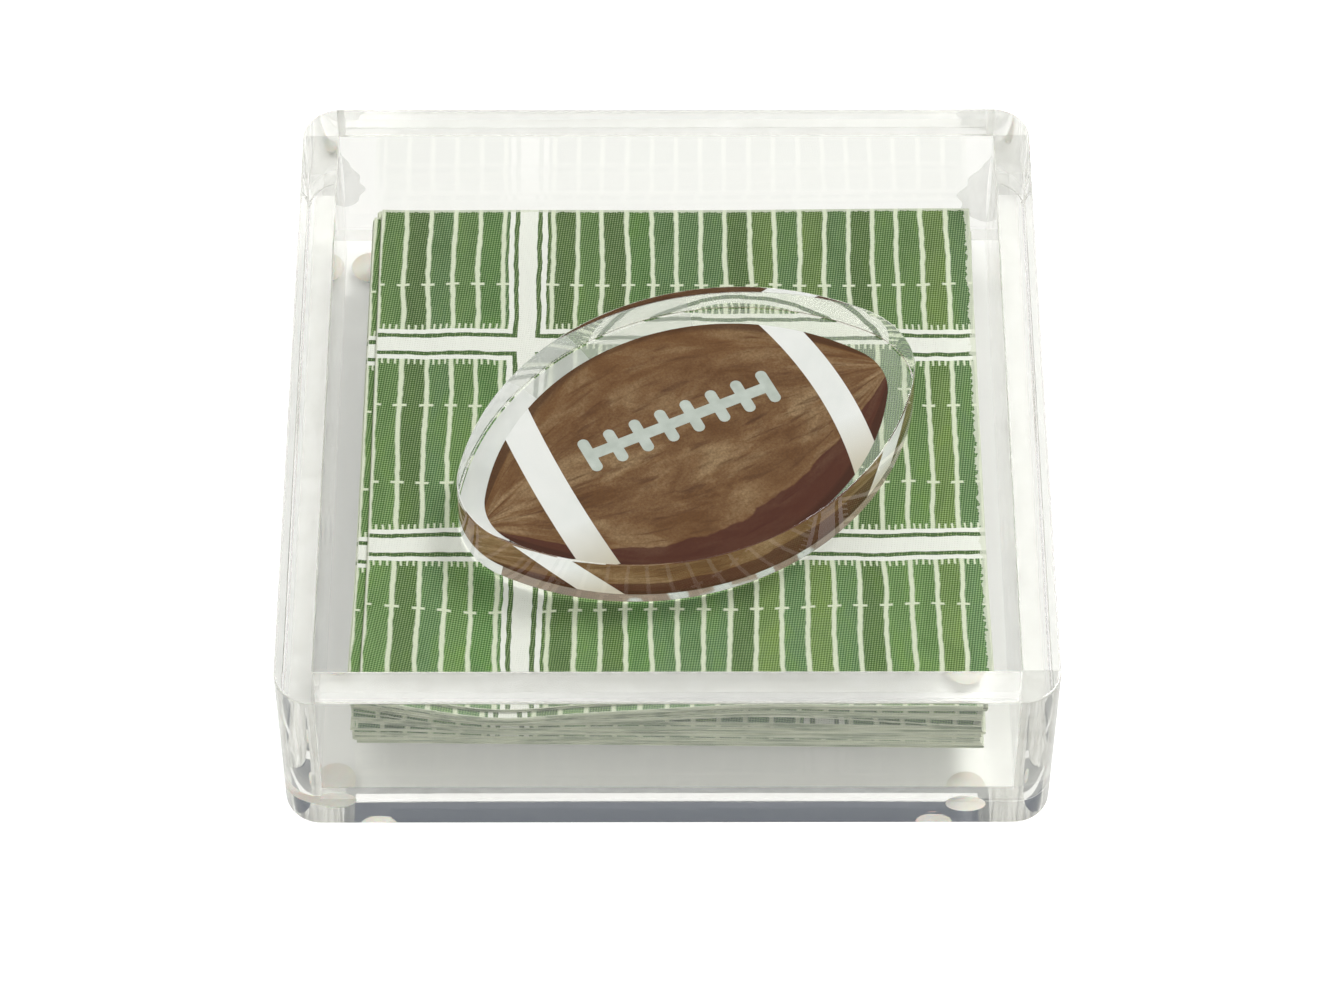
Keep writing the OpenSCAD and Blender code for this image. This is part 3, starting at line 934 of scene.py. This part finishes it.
def make_napkin(number):
    """Napkin number from the bottom, as a folded sheet that rests on the piece below."""
    name = f"napkin_{number:02d}"
    low, high = (np.array(corner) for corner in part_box(name))
    middle = (low + high) / 2
    dice = np.random.default_rng(number)
    misfold_u, misfold_v = dice.uniform(-1, 1, 2) * MISFOLD
    u, v = (axis.ravel() for axis in np.meshgrid(grid, grid, indexing="ij"))
    printed = fold_sheet(u, v, HALF_T, misfold_u, misfold_v)
    bare = fold_sheet(u, v, -HALF_T, misfold_u, misfold_v)
    x, y, z = (np.concatenate(pair) for pair in zip(printed, bare))
    upper = smooth_step(z, HALF_T - FOLD_R, FOLD_R - HALF_T)
    turn = turn_of(number)
    x, y = (middle[0] + x * math.cos(turn) - y * math.sin(turn),
            middle[1] + x * math.sin(turn) + y * math.cos(turn))
    z = settle(x, y, middle[2] + z, number, upper)
    faces = grid_skin(len(grid), len(grid))
    slots = [0, 1] * (len(grid) - 1) ** 2
    slots += [1] * (len(faces) - len(slots))
    napkin = make_object(f"folded_{name}", np.column_stack([x, y, z]), faces,
                         [printed_tissue, bare_tissue], slots)
    on_sheet = np.column_stack([u, v]) / SHEET + 0.5
    corners = np.array([loop.vertex_index % len(u) for loop in napkin.data.loops])
    layer = napkin.data.uv_layers.new(name="Sheet")
    layer.data.foreach_set("uv", on_sheet[corners].ravel())
    napkin.data.shade_smooth()
    napkin.data.set_sharp_from_angle(angle=math.radians(50))
    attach(napkin, "top_napkin" if number == NAPKINS else "napkin_stack")
    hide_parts(name)
    return napkin


napkin = tray_body
for number in range(1, NAPKINS + 1):
    napkin = make_napkin(number)
print("top napkin:", len(napkin.data.polygons), "faces")

# %% [markdown]
# ## The weight's clear slab
#
# The slab is cut from 12.5 mm acrylic to the outline of a football: two side arcs that run
# smoothly into two round tips. Its edge is polished and its faces have a fine bevel, which
# catches a bright line along the near side.
#
# The clear border round the print isn't equally clear underneath, and it carries painted
# light. Along its upper side it goes from a white veil of painted light at the left tip,
# where the slab's sides mirror lamp light down, through a lighter one, to a thin film that
# scatters part of the light. Towards the right tip and along the lower side that film is
# fainter. The films scatter for real, but how strong they are from place to place is
# painted light and shade.

# %% Material: film and painted light under the weight
FILM_SHADES = ((0.88, 0.92, 0.86), (0.94, 0.96, 0.90), (1.0, 1.0, 0.96))
PAINTED_LIGHT_SHADES = ((0.86, 0.89, 0.86), (0.92, 0.94, 0.91), (0.96, 0.96, 0.94))
LIGHT_THROUGH_A_FILM = (0.70, 0.71, 0.70, 1)


def cloudy(tree, shades, strength=1.0):
    """Uneven colour between a dark, a middle and a light shade, all times the strength."""
    shades = [[part * strength for part in shade] for shade in shades]
    return mottled_color(tree, in_metres(tree), 180.0, 0.7, *shades)


def make_film(name, clearness, strength):
    """Acrylic that scatters what it doesn't let through. clearness is the share it passes."""
    material, tree, surface = new_material(name)
    veil = add_node(tree, "ShaderNodeBsdfPrincipled", IOR=ACRYLIC_IOR, Roughness=0.03,
                    Transmission_Weight=clearness,
                    Base_Color=cloudy(tree, FILM_SHADES, strength))
    finish_clear(tree, surface, veil, LIGHT_THROUGH_A_FILM)
    return material


def make_painted_light_veil(name, cover):
    """A white veil of painted light that hides part of what lies below it."""
    material, tree, surface = new_material(name)
    finish_surface(tree, surface, Base_Color=cloudy(tree, PAINTED_LIGHT_SHADES), Roughness=0.6,
                   Specular_IOR_Level=0.0, Alpha=cover)
    return material


# Painted light: the two white veils stand in for lamp light that the slab's sides mirror down onto
# the border at the left tip, and the films' strengths grade the light along the rest.
films_and_painted_light = [make_painted_light_veil("Painted light, white", 0.75), make_painted_light_veil("Painted light, pale", 0.50),
         make_film("Thin film with painted light", 0.62, 0.80), make_film("Faint film with painted light", 0.80, 0.90)]
print("under the weight:", ", ".join(film.name for film in films_and_painted_light))

# %% Weight slab
OUTLINE_STEPS = 48
TO_THE_BACK_RIGHT = Vector((0.51, 0.86, 0.0))
SIDE_BELOW = 0.5
FACES_AWAY = -0.2
PAINTED_LIGHT_ENDS = (-24 * MM, -8 * MM, 15 * MM)
UPPER_SIDE = -8 * MM


def football_ring(length, width, tip_r, z, inset=0.0):
    """The outline of a football, counter-clockwise, placed and turned as the weight is."""
    tip = length / 2 - tip_r
    offset = (tip ** 2 - (width / 2 - tip_r) ** 2) / (width - 2 * tip_r)
    side_r = offset + width / 2
    lean = math.atan2(offset, tip)
    sweep = math.pi - 2 * lean
    steps = [step / OUTLINE_STEPS for step in range(OUTLINE_STEPS)]
    half = []
    for angle in [-lean + share * 2 * lean for share in steps]:
        half.append((tip + (tip_r - inset) * math.cos(angle), (tip_r - inset) * math.sin(angle)))
    for angle in [lean + share * sweep for share in steps]:
        half.append(((side_r - inset) * math.cos(angle),
                     (side_r - inset) * math.sin(angle) - offset))
    ring = []
    for turn in (WEIGHT_TURN, WEIGHT_TURN + math.pi):
        for x, y in half:
            ring.append((weight_middle[0] + x * math.cos(turn) - y * math.sin(turn),
                         weight_middle[1] + x * math.sin(turn) + y * math.cos(turn), z))
    return np.array(ring)


slab_bottom = slab_low[2] - BONDED_INTO
slab_rings = [football_ring(PRINT_L, PRINT_W, PRINT_TIP_R, slab_bottom)]
for inset, drop in eased_levels(WEIGHT_EASE)[::-1]:
    slab_rings.append(football_ring(WEIGHT_L, WEIGHT_W, WEIGHT_TIP_R, slab_bottom + drop, inset))
for inset, drop in eased_levels(WEIGHT_EASE):
    slab_rings.append(football_ring(WEIGHT_L, WEIGHT_W, WEIGHT_TIP_R, slab_high[2] - drop, inset))
slab_materials = [weight_acrylic, weight_side, *films_and_painted_light]
clear_slab = make_object("clear_slab", *join_rings(slab_rings), materials=slab_materials)
for face in clear_slab.data.polygons:
    if abs(face.normal.z) < SIDE_BELOW and face.normal.dot(TO_THE_BACK_RIGHT) < FACES_AWAY:
        face.material_index = slab_materials.index(weight_side)
# The border's faces get their painted light by where they lie along the ball.
for face in clear_slab.data.polygons[1:1 + len(slab_rings[0])]:
    along, across = ball_frame(face.center.x, face.center.y)
    film = films_and_painted_light[sum(along >= end for end in PAINTED_LIGHT_ENDS)] if across > UPPER_SIDE else films_and_painted_light[-1]
    face.material_index = slab_materials.index(film)
polish_normals(clear_slab, sharp_degrees=25)
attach(clear_slab, "football_weight")
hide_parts("weight_slab")
print("clear_slab:", len(clear_slab.data.polygons), "faces")

# %% [markdown]
# ## The football print
#
# The ball is printed on the slab's underside in brown and white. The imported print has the
# right outline, stripes and stitches, so it stays and takes two ink materials. The brown
# looks brushed on: strokes and dark bristle marks run from tip to tip and bend with the ball,
# the tone gets darker towards both of its long edges, and a still darker crescent lies along
# the lower one. Dividing the height on the ball by half the ball's breadth there gives a
# latitude from -1 to 1, and everything that bends with the ball is drawn with that.

# %% Material: brown ink
BALL_HALF_L, BALL_HALF_W, BALL_HALF_TIP = 47.0, 29.6, 3.0
CRESCENT_FROM, CRESCENT_LATITUDE, CRESCENT_SLOPE = -24.0, -0.82, 0.0030
CRESCENT_WOBBLE, CRESCENT_SOFTNESS = 0.18, 0.02


def ball_coordinates(tree):
    """Position on the ball in millimetres: X along it, Y across it."""
    middle = (weight_middle[0], weight_middle[1], stack_top)
    from_middle = vector_node(tree, "SUBTRACT", in_metres(tree), middle)
    turned = add_node(tree, "ShaderNodeVectorRotate", Vector=from_middle, Angle=-WEIGHT_TURN)
    return vector_node(tree, "SCALE", turned.outputs[0], scale=1 / MM)


def latitude_on_ball(tree, axes):
    """Height on the ball over half its breadth: -1 at the lower edge and 1 at the upper."""
    square = math_node(tree, "DIVIDE", axes["X"], BALL_HALF_L)
    square = math_node(tree, "POWER", square, 2.0)
    half_breadth = math_node(tree, "MULTIPLY_ADD", square, -BALL_HALF_W, BALL_HALF_W)
    half_breadth = math_node(tree, "MAXIMUM", half_breadth, BALL_HALF_TIP)
    return math_node(tree, "DIVIDE", axes["Y"], half_breadth)


def bent_with_ball(tree, axes, latitude, along, across):
    """Coordinates for brush marks, with a scale along the ball and one across it."""
    place = add_node(tree, "ShaderNodeCombineXYZ",
                     X=math_node(tree, "MULTIPLY", axes["X"], along),
                     Y=math_node(tree, "MULTIPLY", latitude, across))
    return place.outputs[0]


brown_ink, tree, surface = new_material("Brown ink")
on_ball = ball_coordinates(tree)
axes = split_axes(tree, on_ball)
latitude = latitude_on_ball(tree, axes)
to_edge = math_node(tree, "ABSOLUTE", latitude)
strokes = mottled_color(tree, bent_with_ball(tree, axes, latitude, 0.045, 2.6), 1.3, 1.8,
                        dark=(0.150, 0.076, 0.032), middle=(0.235, 0.135, 0.064),
                        light=(0.360, 0.245, 0.130))
bristles = bent_with_ball(tree, axes, latitude, 0.10, 16.0)
bristles = noise_at(tree, bristles, 1.0, 4.0, Distortion=0.5)
grain = noise_at(tree, on_ball, 2.2, 3.0, Roughness=0.7)
wobble = noise_at(tree, on_ball, 0.12, 3.0)
along = math_node(tree, "MAXIMUM", axes["X"], CRESCENT_FROM)
top = math_node(tree, "MULTIPLY_ADD", along, CRESCENT_SLOPE, CRESCENT_LATITUDE)
top = math_node(tree, "MULTIPLY_ADD", wobble, CRESCENT_WOBBLE, top)
crescent = math_node(tree, "SUBTRACT", top, latitude)
crescent = math_node(tree, "DIVIDE", crescent, CRESCENT_SOFTNESS)
painted = strokes
for mask, shade in (
        (fade_in(tree, bristles, 0.54, 0.72, strength=0.8), (0.085, 0.042, 0.022, 1)),
        (fade_in(tree, grain, 0.36, 0.64, strength=0.5), (0.095, 0.047, 0.024, 1)),
        (fade_in(tree, to_edge, 0.45, 1.0, strength=0.45), (0.160, 0.075, 0.026, 1)),
        (clamped(tree, crescent, highest=0.80), (0.078, 0.026, 0.020, 1)),
        (fade_in(tree, to_edge, 0.955, 1.0, strength=0.6), (0.055, 0.026, 0.016, 1))):
    painted = mix_colors(tree, mask, painted, shade)
finish_surface(tree, surface, Base_Color=painted, Roughness=0.6, Specular_IOR_Level=0.0)
give_material(frame["nodes"]["brown_print"], brown_ink)
print("brown ink:", len(tree.nodes), "nodes")

# %% [markdown]
# The white is one flat coat, a touch uneven, and greyer towards the ball's lower side. The
# laces in the middle are greyer still, and uneven along their threads.

# %% Material: white ink
GREYER_FROM, GREYER_FULL = -8.0, -20.0
LACES_REACH = 24.0
white_ink, tree, surface = new_material("White ink")
on_ball = ball_coordinates(tree)
axes = split_axes(tree, on_ball)
coat = mottled_color(tree, on_ball, 0.07, 0.7, dark=(0.75, 0.78, 0.75),
                     middle=(0.84, 0.855, 0.83), light=(0.89, 0.895, 0.87))
turned_away = fade_in(tree, axes["Y"], GREYER_FROM, GREYER_FULL)
white_color = mix_colors(tree, turned_away, coat, (0.60, 0.56, 0.45, 1))
thread = noise_at(tree, on_ball, 0.35, 2.0)
thread_gray = mix_colors(tree, thread, (0.40, 0.45, 0.40, 1), (0.66, 0.71, 0.66, 1))
lacing = math_node(tree, "LESS_THAN", math_node(tree, "ABSOLUTE", axes["X"]), LACES_REACH)
white_color = mix_colors(tree, lacing, white_color, thread_gray)
finish_surface(tree, surface, Base_Color=white_color, Roughness=0.6, Specular_IOR_Level=0.0)
give_material(frame["nodes"]["white_print"], white_ink)
print("inks:", brown_ink.name, "and", white_ink.name)

# %% [markdown]
# ## Stage and light
#
# The tray stands on a plain white table, which looks brighter where the camera sees it
# straight on, so that the open table is white. A soft lamp stands behind on the right, a
# weaker one behind on the left, and a broad one fills in from the front left. A dark card
# hangs high behind the tray. Clear edges need such a card: they show whatever lies at the end
# of the light's path, and would vanish in all-round white.
#
# Both the table and the room look different along rays that acrylic has bent or mirrored and
# that no matt surface has scattered, so one function finds those.

# %% Floor
GLOW_STRAIGHT_ON = 0.50
GLOW_THROUGH_ACRYLIC = 0.12
TABLE_HALF = 2


def bent_rays(tree, rays):
    """Mask of rays that were bent or mirrored, and that no matt surface scattered."""
    bent = math_node(tree, "MAXIMUM", rays["Is Transmission Ray"], rays["Is Glossy Ray"])
    unscattered = math_node(tree, "LESS_THAN", rays["Diffuse Depth"], 0.5)
    return math_node(tree, "MULTIPLY", bent, unscattered)


table_white, tree, surface = new_material("Table white")
rays = add_node(tree, "ShaderNodeLightPath").outputs
amount = math_node(tree, "MULTIPLY", rays["Is Camera Ray"], GLOW_STRAIGHT_ON)
amount = math_node(tree, "MULTIPLY_ADD", bent_rays(tree, rays), GLOW_THROUGH_ACRYLIC, amount)
matt = add_node(tree, "ShaderNodeBsdfDiffuse", Color=(0.88, 0.88, 0.87, 1))
glow = add_node(tree, "ShaderNodeEmission", Strength=amount)
both = add_node(tree, "ShaderNodeAddShader")
feed(tree, both.inputs[0], matt.outputs[0])
feed(tree, both.inputs[1], glow.outputs[0])
feed(tree, surface, both.outputs[0])
table_corners = [(TABLE_HALF * x, TABLE_HALF * y, 0) for x, y in
                 ((-1, -1), (1, -1), (1, 1), (-1, 1))]
floor = make_object("table", table_corners, [[0, 1, 2, 3]], [table_white])
print("table:", 2 * TABLE_HALF, "m square")

# %% [markdown]
# Light must reach the paper by one way only, or it counts twice. The lamps shine straight
# through the acrylic, so they don't show in rays that it bends. The room's light comes only
# along the bent rays, so the world isn't sampled as a lamp. Unscattered bent rays see the
# backdrop and the dark card, all others see the room's even light, and the camera itself sees
# white.

# %% World and lamps
ROOM_LIGHT = (0.35, 0.35, 0.34, 1)
BACKDROP_LEFT = (0.84, 0.84, 0.775, 1)
BACKDROP_RIGHT = (0.84, 0.84, 0.785, 1)
DARK_CARD = (0.11, 0.125, 0.155, 1)
WHITE = (1, 1, 1, 1)
CARD_LOW, CARD_HIGH, CARD_BACK = 0.55, 0.95, 0.15
LAMPS_FACE = Vector((0, 0, 0.02))
world = bpy.data.worlds.new("Studio")
bpy.context.scene.world = world
world.use_nodes = True
tree = world.node_tree
tree.nodes.clear()
axes = split_axes(tree, add_node(tree, "ShaderNodeTexCoord").outputs["Generated"])
card = math_node(tree, "GREATER_THAN", axes["Z"], CARD_LOW)
card = math_node(tree, "MULTIPLY", card, math_node(tree, "LESS_THAN", axes["Z"], CARD_HIGH))
card = math_node(tree, "MULTIPLY", card, math_node(tree, "GREATER_THAN", axes["Y"], CARD_BACK))
to_right = math_node(tree, "MULTIPLY_ADD", axes["X"], 0.5, 0.5)
backdrop = mix_colors(tree, to_right, BACKDROP_LEFT, BACKDROP_RIGHT)
backdrop = mix_colors(tree, card, backdrop, DARK_CARD)
rays = add_node(tree, "ShaderNodeLightPath").outputs
room = mix_colors(tree, bent_rays(tree, rays), ROOM_LIGHT, backdrop)
room = mix_colors(tree, rays["Is Camera Ray"], room, WHITE)
sky = add_node(tree, "ShaderNodeBackground", Color=room)
feed(tree, tree.nodes.new("ShaderNodeOutputWorld").inputs["Surface"], sky.outputs[0])
world.cycles.sampling_method = "NONE"


def add_softbox(name, place, size, power):
    """A square area lamp that faces the tray."""
    lamp = bpy.data.lights.new(name, "AREA")
    lamp.size = size
    lamp.energy = power
    obj = bpy.data.objects.new(name, lamp)
    bpy.context.scene.collection.objects.link(obj)
    obj.location = place
    obj.visible_transmission = False
    obj.rotation_euler = (LAMPS_FACE - Vector(place)).to_track_quat("-Z", "Y").to_euler()


add_softbox("key_softbox", (0.78, 0.66, 1.6), 0.7, 18.0)
add_softbox("second_softbox", (-0.62, 0.62, 1.7), 0.9, 5.0)
add_softbox("fill_softbox", (-0.9, -1.5, 2.0), 1.6, 12.0)
scene = bpy.context.scene
scene.view_settings.view_transform = "Standard"
scene.cycles.max_bounces = 40
scene.cycles.transmission_bounces = 40
scene.cycles.glossy_bounces = 40
scene.cycles.transparent_max_bounces = 32
print("world:", world.name)

# %% [markdown]
# ## Camera
#
# A long lens looks down on the tray from the front at 53 degrees. Its place follows from
# how wide the rim looks in front and at the back.

# %% Camera
IMAGE_WIDTH = 1320
FOCAL_PIXELS = 4985
SENSOR_WIDTH = 36
CAMERA_PLACE = (-0.0014, -0.6235, 0.8322)
LOOK_DOWN = math.radians(52.9)
ROLL = math.radians(-0.07)
camera_data = bpy.data.cameras.new("camera")
camera_data.sensor_width = SENSOR_WIDTH
camera_data.lens = SENSOR_WIDTH * FOCAL_PIXELS / IMAGE_WIDTH
camera = bpy.data.objects.new("camera", camera_data)
scene.collection.objects.link(camera)
camera.location = CAMERA_PLACE
camera.rotation_mode = "QUATERNION"
camera.rotation_quaternion = (Matrix.Rotation(math.pi / 2 - LOOK_DOWN, 3, "X")
                              @ Matrix.Rotation(ROLL, 3, "Z")).to_quaternion()
scene.camera = camera
print("lens:", round(camera_data.lens, 1), "mm")
